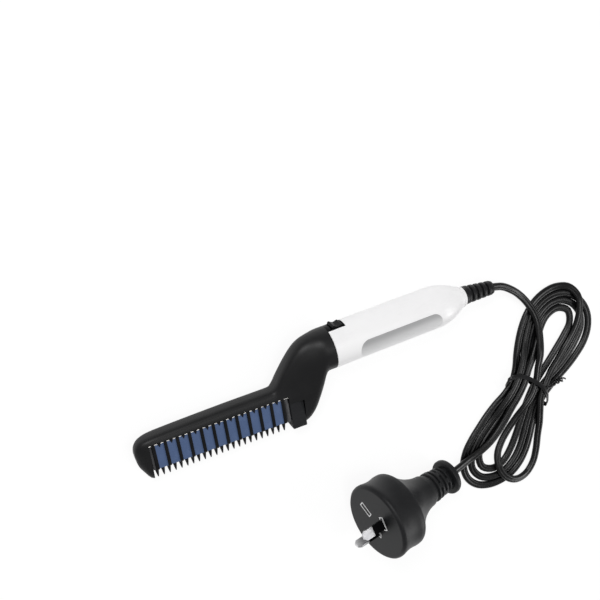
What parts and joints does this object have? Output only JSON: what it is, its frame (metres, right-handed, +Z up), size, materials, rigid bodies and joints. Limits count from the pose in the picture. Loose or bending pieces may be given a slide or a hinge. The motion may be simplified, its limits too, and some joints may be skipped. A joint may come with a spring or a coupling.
{
  "type": "heated styling comb",
  "caption": "Electric styling comb with a heated, toothed head on an offset neck, a round grip with a rocker switch, and a tied flat cord that ends in a two-pin plug.",
  "frame": {"origin": "on the surface that the comb lies on, under the middle of the comb without its cord", "axes": "+X along the grip from the nose towards the cord, +Y towards the comb's back, +Z up from the surface"},
  "size_m": [0.3278, 0.165, 0.0536],
  "materials": {
    "head_black": "fine matte moulded black",
    "comb_black": "heat-proof moulded black",
    "block_black": "smooth moulded black",
    "plate_blue": "blue coated",
    "trim_metal": "bright",
    "spacer_grey": "smooth",
    "heater_metal": "extruded",
    "ceramic": "sintered",
    "film_amber": "smooth",
    "fuse_tan": "glazed",
    "contact_brass": "stamped",
    "core_brown": "satin",
    "core_blue": "satin",
    "screw_steel": "plated",
    "grip_white": "polished white",
    "label_grey": "satin film",
    "switch_black": "polished black",
    "cord_black": "satin",
    "relief_black": "satin",
    "plug_black": "satin moulded",
    "pin_metal": "nickel plated"
  },
  "bodies": {
    "comb": {"head_shell_left": "head_black", "head_shell_right": "head_black", "comb_guard": "comb_black", "heater_plate_left": "plate_blue", "heater_plate_right": "plate_blue", "plate_trim_left": "trim_metal", "plate_trim_right": "trim_metal", "nose_spacer": "spacer_grey", "heel_spacer": "spacer_grey", "heel_block": "block_black", "heater_block": "heater_metal", "ptc_element": "ceramic", "electrode_strips": "contact_brass", "insulation_film": "film_amber", "thermal_fuse": "fuse_tan", "live_core": "core_brown", "switched_lead": "core_brown", "neutral_core": "core_blue", "head_screws": "screw_steel", "handle_shell_left": "grip_white", "handle_shell_right": "grip_white", "handle_screws": "screw_steel", "tail_ring": "grip_white", "rating_label": "label_grey", "cord_clamp": "grip_white", "clamp_screws": "screw_steel", "switch_housing": "switch_black", "switch_terminals": "contact_brass", "rocker_pin": "screw_steel", "inner_cord": "cord_black", "strain_relief": "relief_black", "cord_lead": "cord_black", "cord_hank": "cord_black", "cord_tail": "cord_black", "twist_tie": "relief_black", "plug_body": "plug_black", "live_pin": "pin_metal", "neutral_pin": "pin_metal", "pin_sleeves": "plug_black"},
    "rocker": {"rocker": "switch_black", "contact_bridge": "contact_brass"}
  },
  "joints": [
    {"name": "switch_rocker", "type": "hinge", "parent": "comb", "child": "rocker", "pos_m": [0.01398, 0.02532, 0.01577], "axis": [0, -0.1761, 0.9844], "range_deg": [0, 16]}
  ]
}
